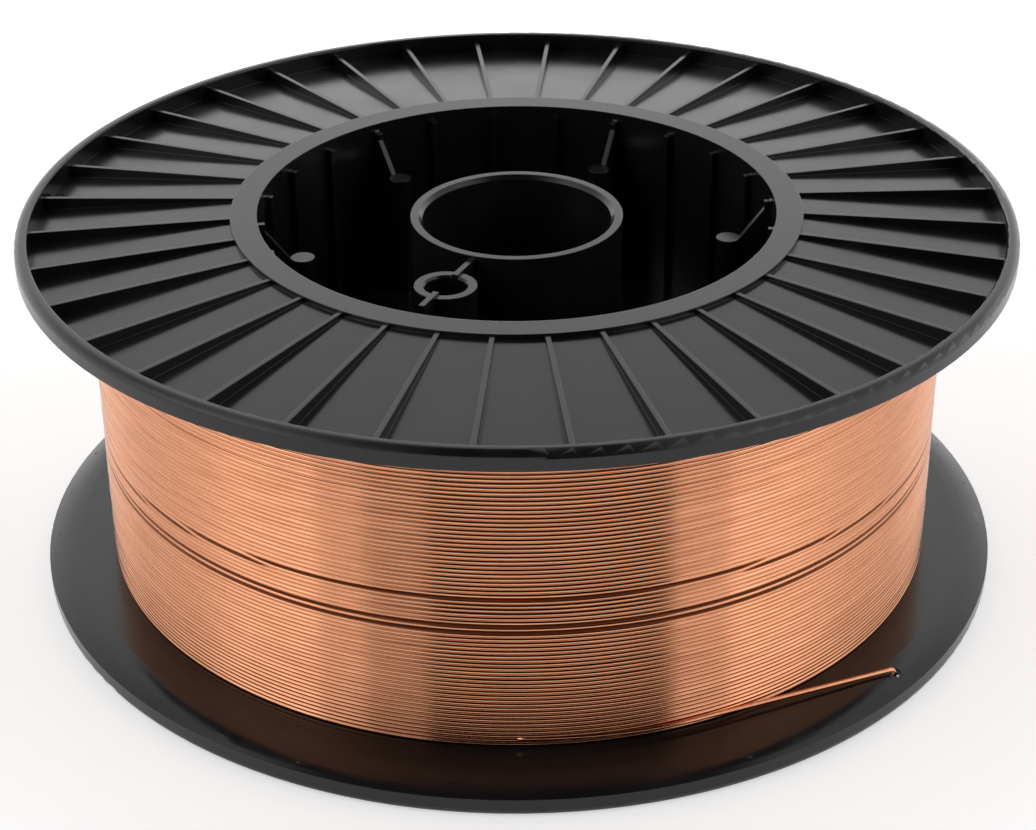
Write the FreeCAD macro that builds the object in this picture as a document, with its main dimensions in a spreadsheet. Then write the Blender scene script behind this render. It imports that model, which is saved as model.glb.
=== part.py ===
import FreeCAD, Part
import math
import os
import Sketcher

# A plastic spool of copper-coated welding wire, lying on its lower flange.
# Millimetres, +Z up.  The origin is on the spindle axis in the plane the spool rests on.
# The spool is two like mouldings that meet at mid-width: the lower one is the upper one
# turned half a turn about the line from the spindle axis towards the driving hole.

os.makedirs("parts", exist_ok=True)
doc = FreeCAD.newDocument("welding_wire_spool")

# ---------------------------------------------------------------- driving sizes
SIZES = {
    # spool as a whole
    "flange_diameter": 270.0,
    "overall_width": 103.0,
    # flange
    "rim_width": 3.5,
    "rim_outer_round": 2.0,
    "rim_inner_round": 0.6,
    "edge_height": 5.2,
    "bevel_width": 5.0,
    "bevel_round": 20.0,
    "flange_depth": 7.2,
    "flange_wall": 1.9,
    "ring_width": 7.2,
    "ring_step": 1.3,
    "rib_count": 36,
    "rib_thickness": 1.3,
    "rib_ring_recess": 0.4,
    "rib_recess": 1.9,
    # barrel that the wire is wound on, and the web across its middle
    "cavity_diameter": 141.0,
    "barrel_wall": 4.0,
    "web_thickness": 2.5,
    # hub that the spindle goes through
    "spindle_bore": 51.5,
    "hub_wall": 3.25,
    "hub_recess": 3.0,
    "hub_chamfer": 1.1,
    # driving hole
    "drive_distance": 44.5,
    "drive_bore": 11.0,
    "drive_wall": 2.75,
    "drive_recess": 4.7,
    "drive_chamfer": 0.5,
    "drive_angle": -115.0,
    "drive_rib_thickness": 1.6,
    "drive_rib_recess": 4.1,
    # posts, gussets and short ribs in the cavity
    "post_count": 6,
    "post_angle": 5.0,
    "post_inset": 11.8,
    "post_diameter": 6.5,
    "post_recess": 13.0,
    "gusset_thickness": 1.5,
    "gusset_recess": 2.0,
    "lug_count": 24,
    "lug_width": 1.6,
    "lug_depth": 2.0,
    "lug_recess": 2.5,
    # hole that the free end is tucked into
    "tuck_angle": -41.4,
    "tuck_inset": 5.4,
    "tuck_diameter": 3.2,
    # wire
    "wire_diameter": 1.2,
    "winding_inset": 18.5,
    "exit_height": 2.3,
    "tail_below_wall": 1.4,
    "tail_clearance": 0.3,
}

sheet = doc.addObject("Spreadsheet::Sheet", "dims")
for row, (alias, number) in enumerate(SIZES.items(), start=1):
    sheet.set(f"A{row}", alias.replace("_", " "))
    sheet.set(f"B{row}", str(number))
    sheet.setAlias(f"B{row}", alias)
doc.recompute()

# heights and radii that several features share, as expressions on the sheet
MID = "dims.overall_width / 2"
TOP = "dims.overall_width"
FLANGE_R = "dims.flange_diameter / 2"
POCKET_R = "dims.flange_diameter / 2 - dims.rim_width"
BARREL_IN = "dims.cavity_diameter / 2"
BARREL_OUT = "dims.cavity_diameter / 2 + dims.barrel_wall"
RING_R = "dims.cavity_diameter / 2 + dims.ring_width"
RIB_START = "dims.cavity_diameter / 2 + dims.ring_width - dims.rib_thickness"
BORE_R = "dims.spindle_bore / 2"
HUB_R = "dims.spindle_bore / 2 + dims.hub_wall"
HUB_TOP = "dims.overall_width - dims.hub_recess"
WEB_TOP = "dims.overall_width / 2 + dims.web_thickness"
INNER_FACE = "dims.overall_width - dims.flange_depth"
FLOOR_EDGE = "dims.overall_width - dims.flange_depth + dims.flange_wall"
FLOOR_RING = "dims.overall_width - dims.ring_step"
DRIVE_R = "dims.drive_bore / 2 + dims.drive_wall"
POST_R = "dims.cavity_diameter / 2 - dims.post_inset"
POST_TOP = "dims.overall_width - dims.post_recess"
LUG_R = "dims.cavity_diameter / 2 - dims.lug_depth"
WINDING_R = "dims.flange_diameter / 2 - dims.winding_inset"


# ---------------------------------------------------------------- sketch helpers
def origin_part(body, role):
    """Return the plane or axis of a body's own origin that has this role."""
    return next(item for item in body.Origin.OriginFeatures if item.Role == role)


def sketch_on(body, role, name):
    """Start a sketch on one of the body's origin planes."""
    sketch = body.newObject("Sketcher::SketchObject", name)
    sketch.AttachmentSupport = [(origin_part(body, role), "")]
    sketch.MapMode = "FlatFace"
    return sketch


def radial_sketch(body, name, angle):
    """Start a sketch in the upright plane through the spindle axis at this angle."""
    sketch = sketch_on(body, "XZ_Plane", name)
    sketch.AttachmentOffset = FreeCAD.Placement(
        FreeCAD.Vector(0, 0, 0), FreeCAD.Rotation(FreeCAD.Vector(0, 1, 0), 1.0))
    sketch.setExpression("AttachmentOffset.Rotation.Angle", angle)
    return sketch


def level_sketch(body, name, height, angle):
    """Start a sketch in the level plane at this height, turned so that its x runs at this angle."""
    sketch = sketch_on(body, "XY_Plane", name)
    sketch.AttachmentOffset = FreeCAD.Placement(
        FreeCAD.Vector(0, 0, 1), FreeCAD.Rotation(FreeCAD.Vector(0, 0, 1), 1.0))
    sketch.setExpression("AttachmentOffset.Base.z", height)
    sketch.setExpression("AttachmentOffset.Rotation.Angle", angle)
    return sketch


def pin_point(sketch, element, point, across, up):
    """Tie one point of a sketch element to a pair of sheet expressions."""
    for kind, expression in (("DistanceX", across), ("DistanceY", up)):
        index = sketch.addConstraint(Sketcher.Constraint(kind, -1, 1, element, point, 1.0))
        sketch.setExpression(f"Constraints[{index}]", expression)


def outline(sketch, corners):
    """Draw a closed outline of straight lines through corners given as pairs of expressions."""
    count = len(corners)
    for index in range(count):
        turn = 2 * math.pi / count
        first = FreeCAD.Vector(100 + 50 * math.cos(index * turn), 50 * math.sin(index * turn), 0)
        second = FreeCAD.Vector(100 + 50 * math.cos((index + 1) * turn), 50 * math.sin((index + 1) * turn), 0)
        sketch.addGeometry(Part.LineSegment(first, second), False)
    for index in range(count):
        sketch.addConstraint(Sketcher.Constraint("Coincident", index, 2, (index + 1) % count, 1))
    for index, (across, up) in enumerate(corners):
        pin_point(sketch, index, 1, across, up)


def ring_on_axis(sketch, distance, radius):
    """Draw a circle centred on the sketch's x axis at this distance."""
    centre = FreeCAD.Vector(40, 0, 0)
    element = sketch.addGeometry(Part.Circle(centre, FreeCAD.Vector(0, 0, 1), 5.0), False)
    sketch.addConstraint(Sketcher.Constraint("PointOnObject", element, 3, -1))
    index = sketch.addConstraint(Sketcher.Constraint("DistanceX", -1, 1, element, 3, 40.0))
    sketch.setExpression(f"Constraints[{index}]", distance)
    index = sketch.addConstraint(Sketcher.Constraint("Radius", element, 5.0))
    sketch.setExpression(f"Constraints[{index}]", radius)


# ---------------------------------------------------------------- feature helpers
def revolve(body, sketch, name):
    """Turn a sketch once round the spindle axis."""
    turned = body.newObject("PartDesign::Revolution", name)
    turned.Profile = sketch
    turned.ReferenceAxis = (origin_part(body, "Z_Axis"), [""])
    turned.Angle = 360.0
    doc.recompute()
    return turned


def plate(body, sketch, name, thickness):
    """Pad a radial sketch to both sides of its plane."""
    pad = body.newObject("PartDesign::Pad", name)
    pad.Profile = sketch
    pad.SideType = "Symmetric"
    pad.setExpression("Length", thickness)
    doc.recompute()
    return pad


def column(body, sketch, name, height):
    """Pad a level sketch upwards."""
    pad = body.newObject("PartDesign::Pad", name)
    pad.Profile = sketch
    pad.setExpression("Length", height)
    doc.recompute()
    return pad


def drill(body, sketch, name):
    """Cut a level sketch upwards through everything, and make sure that it cut."""
    before = body.Shape.Volume
    hole = body.newObject("PartDesign::Pocket", name)
    hole.Profile = sketch
    hole.Type = "ThroughAll"
    hole.Reversed = True
    doc.recompute()
    if not body.Shape.Volume < before:
        raise RuntimeError(f"{name} cut nothing")
    return hole


def around(body, features, name, count):
    """Repeat features evenly round the spindle axis."""
    pattern = body.newObject("PartDesign::PolarPattern", name)
    pattern.Originals = features
    pattern.Axis = (origin_part(body, "Z_Axis"), [""])
    pattern.Angle = 360.0
    pattern.setExpression("Occurrences", count)
    body.Tip = pattern
    doc.recompute()
    return pattern


def circular_edges(shape, radius, height):
    """Return the names of a shape's full circles of this radius at this height."""
    names = []
    for number, edge in enumerate(shape.Edges, start=1):
        if not isinstance(edge.Curve, Part.Circle):
            continue
        if abs(edge.Curve.Radius - radius) < 0.01 and abs(edge.Curve.Center.z - height) < 0.01:
            names.append(f"Edge{number}")
    return names


# ---------------------------------------------------------------- one half of the spool
def turned_shell(body):
    """Flange with its raised rim, half of the barrel, the web and half of the hub."""
    sketch = sketch_on(body, "XZ_Plane", "shell_section")
    outline(sketch, [
        (BORE_R, MID),
        (BARREL_OUT, MID),
        (BARREL_OUT, INNER_FACE),
        (f"{FLANGE_R} - dims.bevel_width", INNER_FACE),
        (FLANGE_R, "dims.overall_width - dims.edge_height"),
        (FLANGE_R, TOP),
        (POCKET_R, TOP),
        (POCKET_R, FLOOR_EDGE),
        (RING_R, FLOOR_RING),
        (RING_R, TOP),
        (BARREL_IN, TOP),
        (BARREL_IN, WEB_TOP),
        (HUB_R, WEB_TOP),
        (HUB_R, HUB_TOP),
        (f"{BORE_R} + dims.hub_chamfer", HUB_TOP),
        (BORE_R, f"{HUB_TOP} - dims.hub_chamfer"),
    ])
    return revolve(body, sketch, "shell")


def round_edge(body, name, radius, height, size):
    """Round the shell's full circle of this radius at this height."""
    base = body.Tip
    fillet = body.newObject("PartDesign::Fillet", name)
    fillet.Base = (base, circular_edges(base.Shape, radius, height))
    fillet.setExpression("Radius", size)
    doc.recompute()


def rounded_rim(body):
    """Round the rim's two top edges and the inner end of the bevel below it."""
    outer = SIZES["flange_diameter"] / 2
    top = SIZES["overall_width"]
    round_edge(body, "rim_outer_rounding", outer, top,
               "min(dims.rim_outer_round; dims.rim_width * 0.6)")
    round_edge(body, "rim_inner_rounding", outer - SIZES["rim_width"], top,
               "min(dims.rim_inner_round; dims.rim_width * 0.3)")
    round_edge(body, "bevel_rounding", outer - SIZES["bevel_width"], top - SIZES["flange_depth"],
               "min(dims.bevel_round; 1.6 * dims.bevel_width ^ 2 / (dims.flange_depth - dims.edge_height))")


def flange_ribs(body):
    """Thin ribs from the ring to the rim, standing taller towards the rim as the floor falls."""
    sketch = radial_sketch(body, "flange_rib_section", "dims.post_angle")
    outline(sketch, [
        (RIB_START, f"{FLOOR_RING} - dims.flange_wall / 2"),
        (f"{POCKET_R} + dims.rim_width / 3", f"{FLOOR_EDGE} - dims.flange_wall / 2"),
        (f"{POCKET_R} + dims.rim_width / 3", "dims.overall_width - dims.rib_recess"),
        (POCKET_R, "dims.overall_width - dims.rib_recess"),
        (RIB_START, "dims.overall_width - dims.rib_ring_recess"),
    ])
    rib = plate(body, sketch, "flange_rib", "dims.rib_thickness")
    around(body, [rib], "flange_ribs", "dims.rib_count")


def posts_and_gussets(body):
    """Round posts on the web, each tied to the barrel by a thin sloping gusset."""
    circle = level_sketch(body, "post_circle_sketch", MID, "dims.post_angle")
    ring_on_axis(circle, POST_R, "dims.post_diameter / 2")
    post = column(body, circle, "post", f"{POST_TOP} - {MID}")
    around(body, [post], "posts", "dims.post_count")
    section = radial_sketch(body, "gusset_section", "dims.post_angle")
    outline(section, [
        (POST_R, f"{MID} + dims.web_thickness / 2"),
        (f"{BARREL_IN} + dims.barrel_wall / 2", f"{MID} + dims.web_thickness / 2"),
        (f"{BARREL_IN} + dims.barrel_wall / 2", "dims.overall_width - dims.gusset_recess"),
        (BARREL_IN, "dims.overall_width - dims.gusset_recess"),
        (f"{POST_R} + dims.post_diameter / 2", POST_TOP),
        (POST_R, POST_TOP),
    ])
    gusset = plate(body, section, "gusset", "dims.gusset_thickness")
    around(body, [gusset], "gussets", "dims.post_count")


def wall_lugs(body):
    """Narrow upright ribs on the inside of the barrel."""
    section = radial_sketch(body, "lug_section", "dims.post_angle")
    outline(section, [
        (LUG_R, f"{MID} + dims.web_thickness / 2"),
        (f"{BARREL_IN} + dims.barrel_wall / 2", f"{MID} + dims.web_thickness / 2"),
        (f"{BARREL_IN} + dims.barrel_wall / 2", "dims.overall_width - dims.lug_recess"),
        (LUG_R, "dims.overall_width - dims.lug_recess"),
    ])
    lug = plate(body, section, "lug", "dims.lug_width")
    around(body, [lug], "lugs", "dims.lug_count")


def drive_tube(body):
    """Tube for the driving pin, with a rib to the hub and on to the nearest post."""
    section = radial_sketch(body, "drive_rib_section", "dims.drive_angle")
    outline(section, [
        (f"{HUB_R} - dims.hub_wall / 2", f"{MID} + dims.web_thickness / 2"),
        (POST_R, f"{MID} + dims.web_thickness / 2"),
        (POST_R, "dims.overall_width - dims.drive_rib_recess"),
        (f"{HUB_R} - dims.hub_wall / 2", "dims.overall_width - dims.drive_rib_recess"),
    ])
    plate(body, section, "drive_rib", "dims.drive_rib_thickness")
    circle = level_sketch(body, "drive_tube_sketch", MID, "dims.drive_angle")
    ring_on_axis(circle, "dims.drive_distance", DRIVE_R)
    column(body, circle, "drive_tube", f"{TOP} - dims.drive_recess - {MID}")
    bore = level_sketch(body, "drive_bore_sketch", MID, "dims.drive_angle")
    ring_on_axis(bore, "dims.drive_distance", "dims.drive_bore / 2")
    drill(body, bore, "drive_bore")
    base = body.Tip
    mouth = SIZES["overall_width"] - SIZES["drive_recess"]
    chamfer = body.newObject("PartDesign::Chamfer", "drive_mouth")
    chamfer.Base = (base, circular_edges(base.Shape, SIZES["drive_bore"] / 2, mouth))
    chamfer.setExpression("Size", "dims.drive_chamfer")
    doc.recompute()


def tuck_hole(body):
    """Small hole through the flange wall near the rim, for the free end of the wire."""
    circle = level_sketch(body, "tuck_hole_sketch", MID, "2 * dims.drive_angle - dims.tuck_angle")
    ring_on_axis(circle, f"{FLANGE_R} - dims.tuck_inset", "dims.tuck_diameter / 2")
    drill(body, circle, "tuck_hole")


def spool_half(label):
    """Build one moulding of the spool, flange up."""
    body = doc.addObject("PartDesign::Body", label)
    body.Label = label
    turned_shell(body)
    rounded_rim(body)
    flange_ribs(body)
    posts_and_gussets(body)
    wall_lugs(body)
    drive_tube(body)
    tuck_hole(body)
    return body


upper_half = spool_half("upper_half")
lower_half = spool_half("lower_half")

# the lower moulding is turned over about the level line that runs out to the driving hole
turn_axis = FreeCAD.Vector(
    math.cos(math.radians(SIZES["drive_angle"])), math.sin(math.radians(SIZES["drive_angle"])), 0)
lower_half.Placement = FreeCAD.Placement(FreeCAD.Vector(0, 0, 1), FreeCAD.Rotation(turn_axis, 180))
lower_half.setExpression("Placement.Base.z", TOP)


# ---------------------------------------------------------------- wire
def wire_winding():
    """Full winding between the flanges, as one turned ring that fills its place."""
    body = doc.addObject("PartDesign::Body", "wire_winding")
    body.Label = "wire_winding"
    sketch = sketch_on(body, "XZ_Plane", "winding_section")
    outline(sketch, [
        (BARREL_OUT, "dims.flange_depth"),
        (WINDING_R, "dims.flange_depth"),
        (WINDING_R, INNER_FACE),
        (BARREL_OUT, INNER_FACE),
    ])
    revolve(body, sketch, "winding")
    return body


def at_angle(radius, angle, height):
    """Return the point at this radius, angle in radians and height."""
    return FreeCAD.Vector(radius * math.cos(angle), radius * math.sin(angle), height)


def bent_tube(points, radius):
    """Round bar along three points, its bend as large as the shorter run allows."""
    first, corner, last = points
    back = (first - corner).normalize()
    onward = (last - corner).normalize()
    setback = 0.45 * min((first - corner).Length, (last - corner).Length)
    half_turn = (math.pi - back.getAngle(onward)) / 2
    bend_radius = setback / math.tan(half_turn)
    middle_way = (back + onward).normalize()
    centre = corner + middle_way * (bend_radius / math.cos(half_turn))
    bend_start = corner + back * setback
    bend_end = corner + onward * setback
    bend_middle = centre - middle_way * bend_radius
    route = Part.Wire([
        Part.makeLine(first, bend_start),
        Part.Arc(bend_start, bend_middle, bend_end).toShape(),
        Part.makeLine(bend_end, last),
    ])
    section = Part.Wire([Part.makeCircle(radius, first, corner - first)])
    return route.makePipeShell([section], True, False)


def wire_end():
    """Free end of the wire: off the winding in a straight line and down through the tuck hole."""
    radius = sheet.wire_diameter / 2
    reach = sheet.flange_diameter / 2 - sheet.tuck_inset
    leaving_radius = sheet.flange_diameter / 2 - sheet.winding_inset + radius
    tuck = math.radians(sheet.tuck_angle)
    leaving = tuck - math.acos(leaving_radius / reach)
    inner_face = sheet.flange_depth
    points = [
        at_angle(leaving_radius, leaving, inner_face + sheet.exit_height),
        at_angle(reach, tuck, inner_face + radius + sheet.tail_clearance),
        at_angle(reach, tuck, inner_face - sheet.flange_wall - sheet.tail_below_wall),
    ]
    feature = doc.addObject("Part::Feature", "wire_end")
    feature.Label = "wire_end"
    feature.Shape = bent_tube(points, radius)
    feature.Placement = FreeCAD.Placement()
    return feature


pieces = [upper_half, lower_half, wire_winding(), wire_end()]

# ---------------------------------------------------------------- check and write
doc.recompute()
for item in doc.Objects:
    if "Invalid" in item.State or "Error" in item.State:
        raise RuntimeError(f"{item.Name} failed: {item.State}")
for piece in pieces:
    if piece.Shape.isNull() or not piece.Shape.isValid() or len(piece.Shape.Solids) != 1:
        raise RuntimeError(f"{piece.Label} is not one valid solid")
for piece in pieces:
    piece.Shape.exportStep(f"parts/{piece.Label}.step")
    print(piece.Label, round(piece.Shape.Volume), piece.Shape.BoundBox)
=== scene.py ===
import math

import bpy
import numpy as np
from bpy.props import FloatProperty, FloatVectorProperty, IntProperty, PointerProperty
from mathutils import Matrix, Vector


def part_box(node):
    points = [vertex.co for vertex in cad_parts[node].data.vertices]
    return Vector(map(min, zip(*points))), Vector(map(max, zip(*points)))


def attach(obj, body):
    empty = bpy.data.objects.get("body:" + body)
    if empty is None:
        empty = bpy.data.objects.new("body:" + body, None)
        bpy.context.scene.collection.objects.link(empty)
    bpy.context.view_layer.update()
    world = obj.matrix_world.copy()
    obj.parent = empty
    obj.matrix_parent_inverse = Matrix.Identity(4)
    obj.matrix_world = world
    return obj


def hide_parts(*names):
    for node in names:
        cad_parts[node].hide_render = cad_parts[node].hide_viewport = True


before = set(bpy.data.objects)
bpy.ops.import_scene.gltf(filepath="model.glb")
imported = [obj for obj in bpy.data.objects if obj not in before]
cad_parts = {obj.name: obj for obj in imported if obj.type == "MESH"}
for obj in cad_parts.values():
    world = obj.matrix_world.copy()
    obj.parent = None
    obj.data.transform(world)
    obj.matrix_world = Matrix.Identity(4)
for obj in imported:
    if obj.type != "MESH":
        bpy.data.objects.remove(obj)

bl_info = {
    "name": "Welding Wire Spool",
    "version": (1, 0, 0),
    "blender": (4, 5, 0),
    "location": "View3D > Sidebar > Wire Spool",
    "description": "Finishes a plastic spool of copper-coated welding wire around its CAD frame",
    "category": "Object",
}

# The frame's own places, in metres
FLANGE_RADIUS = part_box("upper_half")[1].x
SPOOL_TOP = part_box("upper_half")[1].z
WINDING_LOW, WINDING_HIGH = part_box("wire_winding")
WINDING_RADIUS = WINDING_HIGH.x
WIRE_END_LOW, WIRE_END_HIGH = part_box("wire_end")
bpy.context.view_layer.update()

MM = 0.001


# ---------------------------------------------------------------- sizes and colours
class WireSettings(bpy.types.PropertyGroup):
    """Sizes and colours of the wire."""

    diameter: FloatProperty(
        name="Wire diameter", description="Diameter of the wire",
        default=1.2 * MM, min=0.6 * MM, subtype="DISTANCE", unit="LENGTH")
    barrel_radius: FloatProperty(
        name="Barrel radius", description="Radius of the barrel under the winding",
        default=74.5 * MM, subtype="DISTANCE", unit="LENGTH")
    groove_gap: FloatProperty(
        name="Groove gap", description="Extra room between two turns at a groove",
        default=0.62 * MM, min=0.0, subtype="DISTANCE", unit="LENGTH")
    groove_depth: FloatProperty(
        name="Groove depth", description="How far a groove reaches below the turns' centres",
        default=1.0 * MM, min=0.0, subtype="DISTANCE", unit="LENGTH")
    waviness: FloatProperty(
        name="Waviness", description="How far a turn wanders up and down on its way round",
        default=0.10 * MM, min=0.0, subtype="DISTANCE", unit="LENGTH")
    unevenness: FloatProperty(
        name="Unevenness", description="How much turns differ in how far out they lie",
        default=0.06 * MM, min=0.0, subtype="DISTANCE", unit="LENGTH")
    columns: IntProperty(
        name="Steps round", description="Steps in one trip round the winding", default=168, min=24)
    bright: FloatVectorProperty(
        name="Bright copper", description="Colour of the clean coating",
        default=(0.72, 0.325, 0.178), size=3, min=0.0, max=1.0, subtype="COLOR")
    dull: FloatVectorProperty(
        name="Dull copper", description="Colour of the coating where it has gone brown",
        default=(0.56, 0.235, 0.120), size=3, min=0.0, max=1.0, subtype="COLOR")
    # Painted shade: the colour the copper is darkened to down between turns and in the grooves
    valley_shade_colour: FloatVectorProperty(
        name="Painted valley shade", description="Painted shade: dark copper colour down between turns and in grooves",
        default=(0.105, 0.040, 0.020), size=3, min=0.0, max=1.0, subtype="COLOR")


class PlasticSettings(bpy.types.PropertyGroup):
    """Colours and finish of the spool's plastic."""

    black: FloatVectorProperty(
        name="Plastic", description="Colour of the moulded plastic",
        default=(0.0070, 0.0072, 0.0078), size=3, min=0.0, max=1.0, subtype="COLOR")
    scuffed: FloatVectorProperty(
        name="Scuffed plastic", description="Colour where handling has rubbed it",
        default=(0.0140, 0.0142, 0.0150), size=3, min=0.0, max=1.0, subtype="COLOR")
    smooth_roughness: FloatProperty(
        name="Smooth roughness", description="Roughness of the shiniest plastic",
        default=0.16, min=0.0, max=1.0, subtype="FACTOR")
    rough_roughness: FloatProperty(
        name="Dull roughness", description="Roughness of the dullest plastic",
        default=0.26, min=0.0, max=1.0, subtype="FACTOR")
    edge_rounding: FloatProperty(
        name="Edge rounding", description="Radius that moulded edges look rounded to",
        default=0.35 * MM, subtype="DISTANCE", unit="LENGTH")


class StageSettings(bpy.types.PropertyGroup):
    """Floor, light and camera."""

    camera_distance: FloatProperty(
        name="Camera distance", description="Level distance from the spindle axis to the camera",
        default=0.6016, subtype="DISTANCE", unit="LENGTH")
    camera_height: FloatProperty(
        name="Camera height", description="Height of the camera above the floor",
        default=0.3734, subtype="DISTANCE", unit="LENGTH")
    camera_side: FloatProperty(
        name="Camera side", description="Where the camera stands round the spool",
        default=math.radians(-90.45), subtype="ANGLE", unit="ROTATION")
    camera_pitch: FloatProperty(
        name="Camera pitch", description="How far the camera looks down",
        default=0.50976, subtype="ANGLE", unit="ROTATION")
    camera_roll: FloatProperty(
        name="Camera roll", description="How far the camera leans over",
        default=-0.0066, subtype="ANGLE", unit="ROTATION")
    camera_lens: FloatProperty(
        name="Lens", description="Focal length on a 36 mm wide sensor",
        default=83.87, subtype="DISTANCE_CAMERA")
    floor_colour: FloatVectorProperty(
        name="Floor", description="Colour of the floor",
        default=(0.80, 0.80, 0.80), size=3, min=0.0, max=1.0, subtype="COLOR")
    floor_glow: FloatProperty(
        name="Floor glow", description="Light that makes the floor white to the eye",
        default=0.52, min=0.0, max=1.0)
    room_light: FloatProperty(
        name="Room light", description="Strength of the even light from all round",
        default=1.0, min=0.0)


# ---------------------------------------------------------------- surfaces from arrays
def grid_surface(name, points, material, uv=None, close_rows=False, close_columns=False):
    """Make a mesh object from a grid of points (rows, columns, 3).

    Each quad joins point (i, j) to its neighbours (i, j+1), (i+1, j+1) and (i+1, j); a closed
    direction joins its last line back to its first.
    """
    rows, columns = points.shape[:2]
    row_starts = np.arange(rows if close_rows else rows - 1)
    column_starts = np.arange(columns if close_columns else columns - 1)
    i, j = np.meshgrid(row_starts, column_starts, indexing="ij")
    i_next = (i + 1) % rows
    j_next = (j + 1) % columns
    quads = np.stack([
        i * columns + j, i * columns + j_next, i_next * columns + j_next, i_next * columns + j,
    ], axis=-1).reshape(-1, 4)
    mesh = bpy.data.meshes.new(name)
    mesh.vertices.add(rows * columns)
    mesh.vertices.foreach_set("co", points.reshape(-1).astype(np.float32))
    mesh.loops.add(quads.size)
    mesh.loops.foreach_set("vertex_index", quads.reshape(-1).astype(np.int32))
    mesh.polygons.add(len(quads))
    mesh.polygons.foreach_set("loop_start", np.arange(0, quads.size, 4, dtype=np.int32))
    mesh.polygons.foreach_set("use_smooth", np.ones(len(quads), dtype=bool))
    mesh.update(calc_edges=True)
    if uv is not None:
        across, along = uv
        j_uv = np.stack([j, j + 1, j + 1, j], axis=-1).reshape(-1)
        i_uv = np.stack([i, i, i + 1, i + 1], axis=-1).reshape(-1)
        layer = mesh.uv_layers.new(name="turns")
        layer.data.foreach_set("uv", np.stack([along[j_uv], across[i_uv]], axis=-1)
                               .reshape(-1).astype(np.float32))
    mesh.validate()
    mesh.materials.append(material)
    piece = bpy.data.objects.new(name, mesh)
    bpy.context.scene.collection.objects.link(piece)
    return piece


def smooth_step(value):
    """Ease from 0 to 1 as value goes from 0 to 1: 3 v squared less 2 v cubed."""
    clipped = np.clip(value, 0.0, 1.0)
    return clipped * clipped * (3 - 2 * clipped)


# ---------------------------------------------------------------- node helpers
class Nodes:
    """Short way to add and link shader nodes."""

    def __init__(self, tree):
        self.tree = tree
        tree.nodes.clear()

    def add(self, kind, inputs=None, **settings):
        """Add a node, give it its settings, and set or link its inputs."""
        node = self.tree.nodes.new(kind)
        for key, value in settings.items():
            setattr(node, key, value)
        for key, value in (inputs or {}).items():
            if isinstance(value, bpy.types.NodeSocket):
                self.tree.links.new(value, node.inputs[key])
            else:
                node.inputs[key].default_value = value
        return node

    def maths(self, operation, first, second=0.0):
        """Return the result of one Math node."""
        return self.add("ShaderNodeMath", {0: first, 1: second}, operation=operation).outputs[0]

    def spread(self, value, low, high, new_low=0.0, new_high=1.0):
        """Return a value stretched from one range to another and held inside it."""
        return self.add("ShaderNodeMapRange", {
            "Value": value, "From Min": low, "From Max": high, "To Min": new_low, "To Max": new_high,
        }).outputs["Result"]

    def blend(self, factor, first, second):
        """Return a mix of two colours."""
        node = self.add("ShaderNodeMix", {"Factor": factor}, data_type="RGBA")
        for key, value in ((6, first), (7, second)):
            if isinstance(value, bpy.types.NodeSocket):
                self.tree.links.new(value, node.inputs[key])
            else:
                node.inputs[key].default_value = value
        return node.outputs[2]


def new_material(name):
    """Return a material of this name and its node helper."""
    material = bpy.data.materials.new(name)
    material.use_nodes = True
    return material, Nodes(material.node_tree)


def opaque(colour):
    """Add full alpha to a colour."""
    return (colour[0], colour[1], colour[2], 1.0)


# ---------------------------------------------------------------- materials
def plastic_material(settings):
    """Satin black moulded plastic: faint flow rings, fine grain and rubbed patches."""
    material, nodes = new_material("moulded_plastic")
    place = nodes.add("ShaderNodeTexCoord").outputs["Object"]
    patches = nodes.add("ShaderNodeTexNoise", {
        "Vector": place, "Scale": 38.0, "Detail": 5.0, "Roughness": 0.62}).outputs["Fac"]
    grain = nodes.add("ShaderNodeTexNoise", {
        "Vector": place, "Scale": 1400.0, "Detail": 2.0, "Roughness": 0.5}).outputs["Fac"]
    split = nodes.add("ShaderNodeSeparateXYZ", {"Vector": place})
    squares = nodes.maths("ADD", nodes.maths("POWER", split.outputs["X"], 2.0),
                          nodes.maths("POWER", split.outputs["Y"], 2.0))
    radius = nodes.maths("SQRT", squares)
    flow = nodes.maths("SINE", nodes.maths("MULTIPLY", radius, 2600.0))
    colour = nodes.blend(nodes.spread(patches, 0.52, 0.78),
                         opaque(settings.black), opaque(settings.scuffed))
    roughness = nodes.spread(patches, 0.35, 0.7, settings.smooth_roughness, settings.rough_roughness)
    rounding = nodes.add("ShaderNodeBevel", {"Radius": settings.edge_rounding}, samples=4)
    ringed = nodes.add("ShaderNodeBump", {
        "Height": flow, "Strength": 0.04, "Distance": 0.00002, "Normal": rounding.outputs["Normal"]})
    grained = nodes.add("ShaderNodeBump", {
        "Height": grain, "Strength": 0.10, "Distance": 0.00003, "Normal": ringed.outputs["Normal"]})
    shader = nodes.add("ShaderNodeBsdfPrincipled", {
        "Base Color": colour, "Roughness": roughness, "IOR": 1.45,
        "Normal": grained.outputs["Normal"]})
    nodes.add("ShaderNodeOutputMaterial", {"Surface": shader.outputs["BSDF"]})
    return material


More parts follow.
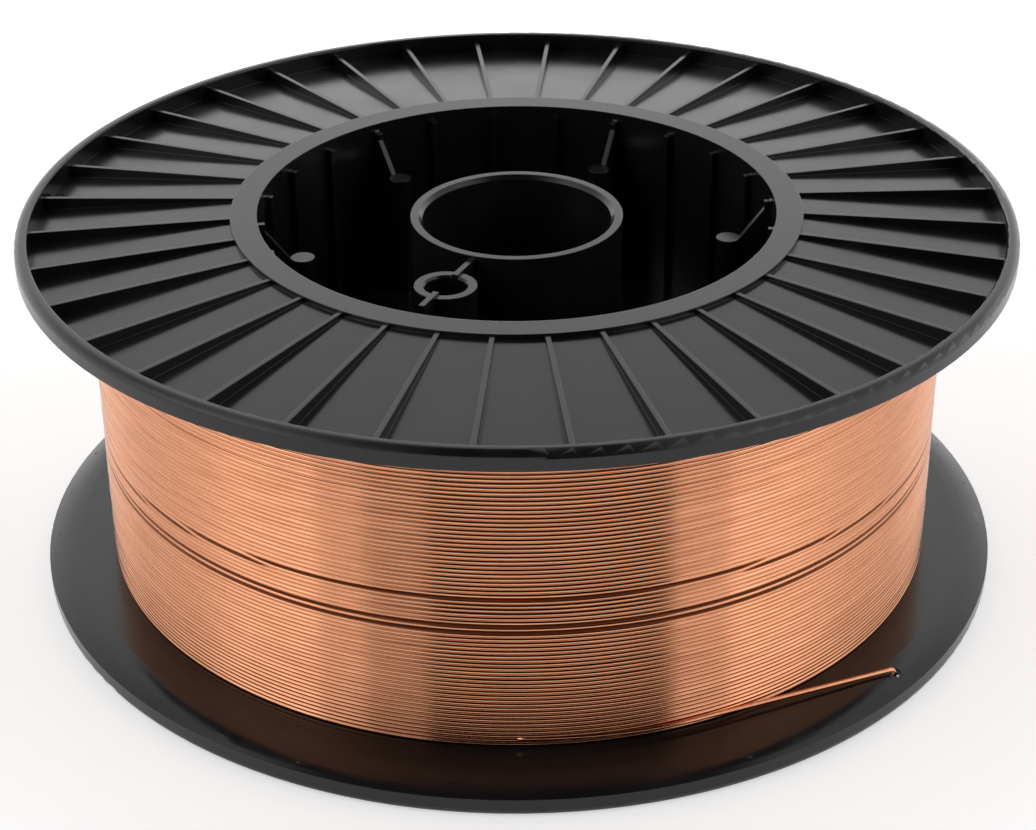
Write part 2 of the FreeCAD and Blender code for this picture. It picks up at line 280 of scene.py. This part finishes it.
def copper_material(settings):
    """Drawn copper-coated steel: bright metal with streaks that run along the wire, with painted shade that
    darkens it down between turns and in the grooves.
    """
    material, nodes = new_material("drawn_wire")
    place = nodes.add("ShaderNodeUVMap", uv_map="turns").outputs["UV"]
    streak_place = nodes.add("ShaderNodeMapping", {"Vector": place, "Scale": (0.045, 1.1, 1.0)})
    streaks = nodes.add("ShaderNodeTexNoise", {
        "Vector": streak_place.outputs["Vector"], "Scale": 1.0, "Detail": 4.0, "Roughness": 0.65},
        noise_dimensions="2D").outputs["Fac"]
    draw_place = nodes.add("ShaderNodeMapping", {"Vector": place, "Scale": (0.05, 9.0, 1.0)})
    draw_lines = nodes.add("ShaderNodeTexNoise", {
        "Vector": draw_place.outputs["Vector"], "Scale": 1.0, "Detail": 2.0, "Roughness": 0.5},
        noise_dimensions="2D").outputs["Fac"]
    shade = nodes.add("ShaderNodeAttribute", attribute_name="shade").outputs["Fac"]
    outer = nodes.blend(nodes.spread(streaks, 0.36, 0.74), opaque(settings.bright), opaque(settings.dull))
    # Painted shade: the shade attribute darkens the copper towards the valley colour between turns and in
    # the grooves
    colour = nodes.blend(shade, outer, opaque(settings.valley_shade_colour))
    worn = nodes.spread(streaks, 0.3, 0.75, 0.08, 0.17)
    roughness = nodes.maths("ADD", worn, nodes.maths("MULTIPLY", shade, 0.4))
    drawn = nodes.add("ShaderNodeBump", {
        "Height": draw_lines, "Strength": 0.15, "Distance": 0.00002})
    shader = nodes.add("ShaderNodeBsdfPrincipled", {
        "Base Color": colour, "Metallic": 1.0, "Roughness": roughness,
        "Normal": drawn.outputs["Normal"]})
    nodes.add("ShaderNodeOutputMaterial", {"Surface": shader.outputs["BSDF"]})
    return material


def material_named(name, maker, settings):
    """Return a material that was made before, or make it."""
    return bpy.data.materials.get(name) or maker(settings)


# ---------------------------------------------------------------- wire
# Turns below a groove that lie above it outside these angles, in degrees round the spool
STRAYING_TURNS = ((-127.0, -58.0), (-139.0, -45.0), (-150.0, -33.0))
GROOVE_HEIGHTS = (40.7 * MM, 43.1 * MM, 51.5 * MM)
STRAYING_GROOVE = 2
# Rows across one turn, in degrees above its middle
LIFTS = (-54.0, -36.0, -18.0, 0.0, 18.0, 36.0, 54.0)
# How far out the low line between two turns lies, as a share of the wire's radius
VALLEY_SHARE = 0.42
# Shade at a turn's outermost rows, more of it beside a groove, and between two turns
EDGE_SHADE, GROOVE_EDGE_SHADE, VALLEY_SHADE = 0.07, 0.5, 0.16


def turn_heights(settings, angles):
    """Heights of the turns' centres (turns, angles), and the turn that each groove lies below.

    Turns lie side by side between the flanges, with one gap more at each groove.  A few turns
    under the top groove cross over it, so that the groove steps down on both sides.  Smooth waves
    of height and angle are added, small beside the wire's diameter.
    """
    low, high = WINDING_LOW.z, WINDING_HIGH.z
    gaps = settings.groove_gap * len(GROOVE_HEIGHTS)
    count = int((high - low - gaps) / settings.diameter)
    pitch = (high - low - gaps) / count
    heights = low + pitch * (np.arange(count) + 0.5)
    grooves_after = []
    for number, groove in enumerate(GROOVE_HEIGHTS):
        below = int(round((groove - low - settings.groove_gap * (number + 0.5)) / pitch))
        heights[below:] += settings.groove_gap
        grooves_after.append(below)
    centres = np.repeat(heights[:, None], len(angles), axis=1)
    edge = math.radians(5.0)
    for step, (start, end) in enumerate(STRAYING_TURNS):
        turn = grooves_after[STRAYING_GROOVE] - 1 - step
        inside = (smooth_step((angles - math.radians(start)) / edge)
                  * smooth_step((math.radians(end) - angles) / edge))
        centres[turn] += settings.groove_gap * (1 - inside)
    share = (centres - low) / (high - low)
    held = np.sin(np.pi * share)
    waves = (np.sin(2 * angles + 7.0 * share) + 0.6 * np.sin(5 * angles - 11.0 * share + 1.3)
             + 0.4 * np.sin(9 * angles + 23.0 * share + 0.4))
    return centres + settings.waviness * held * waves, grooves_after


def turn_profile(settings, angles):
    """Outer surface of the turns, as arrays of radius, height and shade (rows, angles).

    Each turn is a half round, radius = centre radius + r cos(lift) and height = centre + r sin(lift),
    and the row between two turns is the low line where they meet.  At a groove it is a flat-bottomed
    channel of three rows.  Shade goes from 0 on a turn's crown to 1 at the bottom of a groove.
    """
    centres, grooves_after = turn_heights(settings, angles)
    count = len(centres)
    generator = np.random.default_rng(12)
    phase = generator.uniform(0, 2 * np.pi, (3, count, 1))
    lean = sum(np.sin(order * angles + phase[index]) for index, order in enumerate((1, 3, 8))) / 3
    seat = generator.normal(0.0, 1.0, (count, 1)) * 0.4 + lean
    wire_radius = settings.diameter / 2
    middle = WINDING_RADIUS - wire_radius - 2.2 * settings.unevenness
    centre_radius = middle + settings.unevenness * np.clip(seat, -2.0, 2.0)
    lifts = np.radians(np.array(LIFTS))
    radius_rows = centre_radius[:, None, :] + wire_radius * np.cos(lifts)[None, :, None]
    height_rows = centres[:, None, :] + wire_radius * np.sin(lifts)[None, :, None]
    low_height = (centres[1:] + centres[:-1]) / 2
    shallow = VALLEY_SHARE * wire_radius
    low_radius = np.minimum(centre_radius[1:], centre_radius[:-1]) + shallow
    room = np.clip((centres[1:] - centres[:-1] - settings.diameter) / settings.groove_gap, 0.0, 1.0)
    low_radius = low_radius - (settings.groove_depth + shallow) * smooth_step(room * 1.5)
    room = smooth_step(room * 1.5)
    channels = {turn - 1 for turn in grooves_after}
    channels |= {grooves_after[STRAYING_GROOVE] - 2 - step for step in range(len(STRAYING_TURNS))}
    turn_shade = np.zeros((len(LIFTS), len(angles)))
    turn_shade[[0, -1]] = EDGE_SHADE
    radii = []
    heights = []
    shades = []
    for turn in range(count):
        radii.append(radius_rows[turn])
        heights.append(height_rows[turn])
        shades.append(turn_shade.copy())
        if turn == count - 1:
            break
        low_rows = np.array([-1.0, 0.0, 1.0]) if turn in channels else np.array([0.0])
        half_width = 0.02 * MM + 0.42 * settings.groove_gap * room[turn]
        radii.append(np.repeat(low_radius[turn][None, :], len(low_rows), axis=0))
        heights.append(low_height[turn] + low_rows[:, None] * half_width)
        low_shade = VALLEY_SHADE + (1.0 - VALLEY_SHADE) * room[turn]
        shades.append(np.repeat(low_shade[None, :], len(low_rows), axis=0))
    for turn in channels:
        shades[2 * turn][-1] += GROOVE_EDGE_SHADE * room[turn]
        shades[2 * turn + 2][0] += GROOVE_EDGE_SHADE * room[turn]
    return np.concatenate(radii), np.concatenate(heights), np.concatenate(shades)


def winding_surface(settings, material):
    """Closed ring: the turns outside, level ends at the flanges, and a plain bore.

    A point is (radius cos a, radius sin a, height), with radius and height from the turn profile.
    """
    angles = -math.pi + 2 * math.pi * np.arange(settings.columns) / settings.columns
    radii, heights, shades = turn_profile(settings, angles)
    even = np.ones((1, settings.columns))
    low, high = WINDING_LOW.z * even, WINDING_HIGH.z * even
    shoulder = (WINDING_RADIUS - settings.diameter) * even
    bore = settings.barrel_radius * even
    radii = np.concatenate([bore, shoulder, radii, shoulder, bore])
    # Painted shade: the bore and the level ends take full shade, the dark valley colour
    shades = np.concatenate([even, even, shades, even, even])
    heights = np.concatenate([low, low, heights, high, high])
    points = np.stack([radii * np.cos(angles), radii * np.sin(angles), heights], axis=-1)
    rows = len(radii)
    across = np.concatenate([heights.mean(axis=1), [heights[0].mean()]]) / settings.diameter
    step = 2 * np.pi * WINDING_RADIUS / settings.columns / settings.diameter
    along = np.arange(settings.columns + 1) * step
    piece = grid_surface("winding_turns", points, material, uv=(across, along),
                         close_rows=True, close_columns=True)
    layer = piece.data.attributes.new("shade", "FLOAT", "POINT")
    layer.data.foreach_set("value", shades.reshape(-1).astype(np.float32))
    return piece


def wire_end_path(settings):
    """Centre line of the free end, its heading and its tilt, as arrays.

    It lies on the winding for part of a turn, leaves it in a straight line, bends down over a
    small arc and drops through the hole in the flange.
    """
    wire_radius = settings.diameter / 2
    hole_x = WIRE_END_HIGH.x - wire_radius
    hole_y = WIRE_END_HIGH.y - wire_radius
    reach = math.hypot(hole_x, hole_y)
    leaving_radius = WINDING_RADIUS + wire_radius
    leaving = math.atan2(hole_y, hole_x) - math.acos(leaving_radius / reach)
    start_height = WIRE_END_HIGH.z - wire_radius
    bend_height = WINDING_LOW.z + wire_radius + 0.3 * MM
    start = np.array([leaving_radius * math.cos(leaving), leaving_radius * math.sin(leaving), start_height])
    corner = np.array([hole_x, hole_y, bend_height])
    heading = math.atan2(corner[1] - start[1], corner[0] - start[0])
    run = math.hypot(corner[0] - start[0], corner[1] - start[1])
    drop = math.atan2(start_height - bend_height, run)
    bend_radius = 1.5 * settings.diameter
    turn = math.pi / 2 - drop
    setback = bend_radius * math.tan(turn / 2)
    level = np.array([math.cos(heading), math.sin(heading), 0.0])
    down = np.array([0.0, 0.0, -1.0])
    onward = level * math.cos(drop) + down * math.sin(drop)

    wrap = np.linspace(math.radians(-24.0), 0.0, 25)
    sink = settings.diameter * smooth_step(-wrap / math.radians(24.0))
    wrap_radius = leaving_radius - sink
    wrapped = np.stack([wrap_radius * np.cos(leaving + wrap), wrap_radius * np.sin(leaving + wrap),
                        np.full_like(wrap, start_height)], axis=-1)
    straight_length = np.linalg.norm(corner - start) - setback
    straight = start + onward * np.linspace(0.0, straight_length, 24)[1:, None]
    centre = corner - onward * setback + (down * math.cos(drop) - level * math.sin(drop)) * bend_radius
    sweep = np.linspace(0.0, turn, 12)[1:, None]
    bent = centre + bend_radius * (
        (level * math.sin(drop) - down * math.cos(drop)) * np.cos(sweep) + onward * np.sin(sweep))
    tail_length = bent[-1][2] - WIRE_END_LOW.z
    tail = bent[-1] + down * np.linspace(0.0, tail_length, 6)[1:, None]
    return np.concatenate([wrapped, straight, bent, tail])


def wire_end_surface(settings, material):
    """Round bar along the free end's path, closed at both ends.

    Each ring is centre + r (side cos v + lift sin v), where side is level and square to the path.
    """
    path = wire_end_path(settings)
    forward = np.gradient(path, axis=0)
    forward /= np.linalg.norm(forward, axis=1)[:, None]
    level = forward[:, :2].copy()
    steep = np.linalg.norm(level, axis=1) < 0.05
    first_steep = int(np.argmax(steep)) if steep.any() else len(level)
    level[first_steep:] = level[first_steep - 1]
    level /= np.linalg.norm(level, axis=1)[:, None]
    side = np.stack([-level[:, 1], level[:, 0], np.zeros(len(level))], axis=-1)
    lift = np.cross(forward, side)
    around = np.linspace(0, 2 * np.pi, 16, endpoint=False)
    wire_radius = settings.diameter / 2
    rings = path[:, None, :] + wire_radius * (
        side[:, None, :] * np.cos(around)[None, :, None] + lift[:, None, :] * np.sin(around)[None, :, None])
    first = np.repeat(path[:1, None, :], len(around), axis=1)
    last = np.repeat(path[-1:, None, :], len(around), axis=1)
    points = np.concatenate([first, rings, last])
    lengths = np.concatenate([[0.0], np.cumsum(np.linalg.norm(np.diff(path, axis=0), axis=1))])
    across = np.concatenate([[0.0], lengths, lengths[-1:]]) / settings.diameter
    along = np.arange(len(around) + 1) / len(around)
    piece = grid_surface("free_wire_end", points, material, uv=(across, along), close_columns=True)
    return piece


# ---------------------------------------------------------------- operators
class SPOOL_OT_plastic(bpy.types.Operator):
    """Give both halves of the spool their moulded plastic."""

    bl_idname = "spool.plastic"
    bl_label = "Spool Halves"

    def execute(self, context):
        material = material_named("moulded_plastic", plastic_material, context.scene.spool_plastic)
        for name in ("upper_half", "lower_half"):
            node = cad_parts[name]
            node.data.materials.clear()
            node.data.materials.append(material)
        return {"FINISHED"}


class SPOOL_OT_winding(bpy.types.Operator):
    """Wind the wire on the barrel, turn beside turn."""

    bl_idname = "spool.winding"
    bl_label = "Winding"

    def execute(self, context):
        settings = context.scene.spool_wire
        material = material_named("drawn_wire", copper_material, settings)
        piece = winding_surface(settings, material)
        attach(piece, "root")
        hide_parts("wire_winding")
        return {"FINISHED"}


class SPOOL_OT_wire_end(bpy.types.Operator):
    """Tuck the free end of the wire into the lower flange."""

    bl_idname = "spool.wire_end"
    bl_label = "Free Wire End"

    def execute(self, context):
        settings = context.scene.spool_wire
        material = material_named("drawn_wire", copper_material, settings)
        piece = wire_end_surface(settings, material)
        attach(piece, "root")
        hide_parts("wire_end")
        return {"FINISHED"}


# Level part of the way the eye looks, as a share of a unit length
LOOK_LEVEL_PART = 0.85
# Angle round the winding in degrees, and how bright the light is that shows there
PANEL_STOPS = (
    (-180.0, 0.70), (-150.0, 0.72), (-138.0, 0.85), (-130.0, 1.35), (-118.5, 1.50), (-117.5, 0.95),
    (-111.5, 0.90), (-110.5, 0.42), (-103.0, 0.36), (-102.0, 0.02), (-70.0, 0.02), (-69.0, 0.85),
    (-61.5, 0.92), (-60.5, 1.50), (-52.0, 1.35), (-40.0, 0.85), (-30.0, 0.72), (0.0, 0.70))
# Directions' Y from which the even back takes over, and how bright it is
BACK_STARTS, BACK_FULL, BACK_LEVEL = 0.35, 0.65, 1.08
# Directions' Z over which the light falls off, and its strength at both ends
FALL_FROM, FALL_TO = 0.20, 1.00
LOW_LIGHT, OVERHEAD_LIGHT = 1.42, 0.60


def studio_world(settings):
    """Light from all round: pale panels left and right of a dark front, and an even back.

    A wire turn reflects every direction r that has the same angle of (r - v) round the axis,
    where v is the level part of the way the eye looks.  So the panels are edged by that angle,
    and each edge shows as one upright line on the winding.
    """
    world = bpy.data.worlds.new("studio")
    world.use_nodes = True
    nodes = Nodes(world.node_tree)
    direction = nodes.add("ShaderNodeTexCoord").outputs["Generated"]
    split = nodes.add("ShaderNodeSeparateXYZ", {"Vector": direction})
    onward = nodes.maths("SUBTRACT", split.outputs["Y"], LOOK_LEVEL_PART)
    side = nodes.maths("ARCTAN2", onward, split.outputs["X"])
    panels = nodes.add("ShaderNodeValToRGB", {"Fac": nodes.spread(side, -math.pi, 0.0)})
    ramp = panels.color_ramp
    ramp.interpolation = "LINEAR"
    while len(ramp.elements) < len(PANEL_STOPS):
        ramp.elements.new(0.5)
    for element, (degrees, _) in zip(ramp.elements, PANEL_STOPS):
        element.position = (degrees + 180.0) / 180.0
    for element, (_, level) in zip(ramp.elements, PANEL_STOPS):
        element.color = (level, level, level, 1.0)
    falling = nodes.spread(
        split.outputs["Z"], FALL_FROM, FALL_TO, LOW_LIGHT, OVERHEAD_LIGHT)
    behind = nodes.spread(split.outputs["Y"], BACK_STARTS, BACK_FULL)
    around = nodes.blend(behind, panels.outputs["Color"], opaque((BACK_LEVEL,) * 3))
    room = nodes.add("ShaderNodeVectorMath", {
        0: around, "Scale": falling}, operation="SCALE").outputs["Vector"]
    path = nodes.add("ShaderNodeLightPath")
    colour = nodes.blend(path.outputs["Is Camera Ray"], room, (1.0, 1.0, 1.0, 1.0))
    background = nodes.add("ShaderNodeBackground", {"Color": colour, "Strength": settings.room_light})
    nodes.add("ShaderNodeOutputWorld", {"Surface": background.outputs["Background"]})
    return world


def floor_material(settings):
    """Pale floor, white to the eye and in reflections, that still takes the spool's shadow.

    It is seen from above only, so that a view from below shows the spool's underside.
    """
    material, nodes = new_material("pale_floor")
    lit = nodes.add("ShaderNodeBsdfDiffuse", {"Color": opaque(settings.floor_colour)})
    path = nodes.add("ShaderNodeLightPath")
    seen = nodes.maths("MAXIMUM", path.outputs["Is Camera Ray"], nodes.maths(
        "MAXIMUM", path.outputs["Is Glossy Ray"], path.outputs["Is Transmission Ray"]))
    glow = nodes.add("ShaderNodeEmission", {
        "Color": (1.0, 1.0, 1.0, 1.0), "Strength": nodes.maths("MULTIPLY", seen, settings.floor_glow)})
    both = nodes.add("ShaderNodeAddShader", {0: lit.outputs["BSDF"], 1: glow.outputs["Emission"]})
    clear = nodes.add("ShaderNodeBsdfTransparent")
    one_sided = nodes.add("ShaderNodeMixShader", {
        0: nodes.add("ShaderNodeNewGeometry").outputs["Backfacing"],
        1: both.outputs["Shader"], 2: clear.outputs["BSDF"]})
    nodes.add("ShaderNodeOutputMaterial", {"Surface": one_sided.outputs["Shader"]})
    return material


def studio_camera(settings):
    """Camera at the spool's viewing angle, built from its forward, right and up directions."""
    data = bpy.data.cameras.new("view")
    data.sensor_width = 36.0
    data.lens = settings.camera_lens
    data.clip_start = 0.01
    camera = bpy.data.objects.new("view", data)
    bpy.context.scene.collection.objects.link(camera)
    out = Vector((math.cos(settings.camera_side), math.sin(settings.camera_side), 0.0))
    forward = (-out * math.cos(settings.camera_pitch)
               - Vector((0.0, 0.0, 1.0)) * math.sin(settings.camera_pitch))
    right = forward.cross(Vector((0.0, 0.0, 1.0))).normalized()
    up = right.cross(forward)
    lean_right = right * math.cos(settings.camera_roll) + up * math.sin(settings.camera_roll)
    lean_up = up * math.cos(settings.camera_roll) - right * math.sin(settings.camera_roll)
    turned = Matrix((lean_right, lean_up, -forward)).transposed().to_4x4()
    turned.translation = out * settings.camera_distance + Vector((0.0, 0.0, settings.camera_height))
    camera.matrix_world = turned
    return camera


class SPOOL_OT_stage(bpy.types.Operator):
    """Set up the floor, the light and the camera."""

    bl_idname = "spool.stage"
    bl_label = "Stage"

    def execute(self, context):
        settings = context.scene.spool_stage
        reach = 40 * FLANGE_RADIUS
        corners = np.array([[[-reach, -reach, 0.0], [reach, -reach, 0.0]],
                            [[-reach, reach, 0.0], [reach, reach, 0.0]]])
        floor = grid_surface("floor", corners, floor_material(settings))
        context.scene.world = studio_world(settings)
        context.scene.camera = studio_camera(settings)
        context.scene.view_settings.view_transform = "Standard"
        return {"FINISHED"}


class SPOOL_PT_panel(bpy.types.Panel):
    """Sidebar list of the spool's steps and settings."""

    bl_label = "Wire Spool"
    bl_idname = "SPOOL_PT_panel"
    bl_space_type = "VIEW_3D"
    bl_region_type = "UI"
    bl_category = "Wire Spool"

    def draw(self, context):
        layout = self.layout
        for operator in OPERATORS:
            layout.operator(operator.bl_idname)
        for group in (context.scene.spool_wire, context.scene.spool_plastic, context.scene.spool_stage):
            box = layout.box()
            for name in group.__annotations__:
                box.prop(group, name)


GROUPS = {"spool_wire": WireSettings, "spool_plastic": PlasticSettings, "spool_stage": StageSettings}
OPERATORS = (SPOOL_OT_plastic, SPOOL_OT_winding, SPOOL_OT_wire_end, SPOOL_OT_stage)


def register():
    """Register every class and hang the settings on the scene."""
    for name, group in GROUPS.items():
        bpy.utils.register_class(group)
        setattr(bpy.types.Scene, name, PointerProperty(type=group))
    for operator in OPERATORS:
        bpy.utils.register_class(operator)
    bpy.utils.register_class(SPOOL_PT_panel)


def unregister():
    """Undo register, in reverse order."""
    bpy.utils.unregister_class(SPOOL_PT_panel)
    for operator in reversed(OPERATORS):
        bpy.utils.unregister_class(operator)
    for name, group in reversed(GROUPS.items()):
        delattr(bpy.types.Scene, name)
        bpy.utils.unregister_class(group)


def main():
    """Build every piece and the stage."""
    register()
    bpy.ops.spool.plastic()
    bpy.ops.spool.winding()
    bpy.ops.spool.wire_end()
    bpy.ops.spool.stage()


if __name__ == "__main__":
    main()
